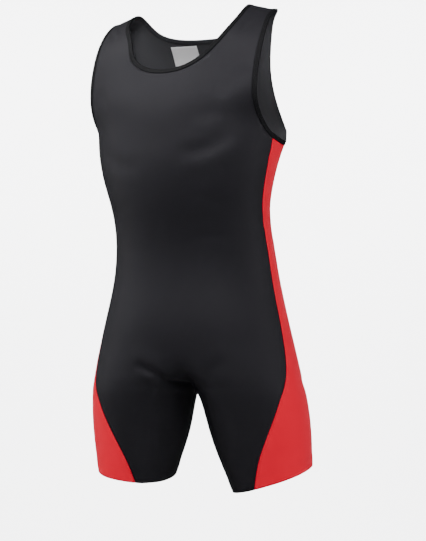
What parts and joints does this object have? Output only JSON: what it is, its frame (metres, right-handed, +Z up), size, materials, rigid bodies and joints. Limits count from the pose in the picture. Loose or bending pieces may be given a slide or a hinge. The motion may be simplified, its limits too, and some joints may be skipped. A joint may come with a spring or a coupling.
{
  "type": "wrestling singlet",
  "caption": "Tank-style wrestling singlet: dark front and back, scooped neck, wide straps, deep armholes, red side panels and mid-thigh legs.",
  "frame": {"origin": "midway between the two neck points of the shoulders, where the garment is held", "axes": "+Z up, the chest faces -Y, the wearer's left is +X"},
  "size_m": [0.3903, 0.2904, 0.8515],
  "materials": {
    "dark_knit": "satin",
    "red_knit": "satin",
    "edge_elastic": "matte",
    "label_cloth": "matte"
  },
  "bodies": {
    "root": {"front_panel": "dark_knit", "back_panel": "dark_knit", "side_panel_left": "red_knit", "side_panel_right": "red_knit", "neck_binding": "edge_elastic", "armhole_binding_left": "edge_elastic", "armhole_binding_right": "edge_elastic", "neck_label": "label_cloth"}
  },
  "joints": []
}
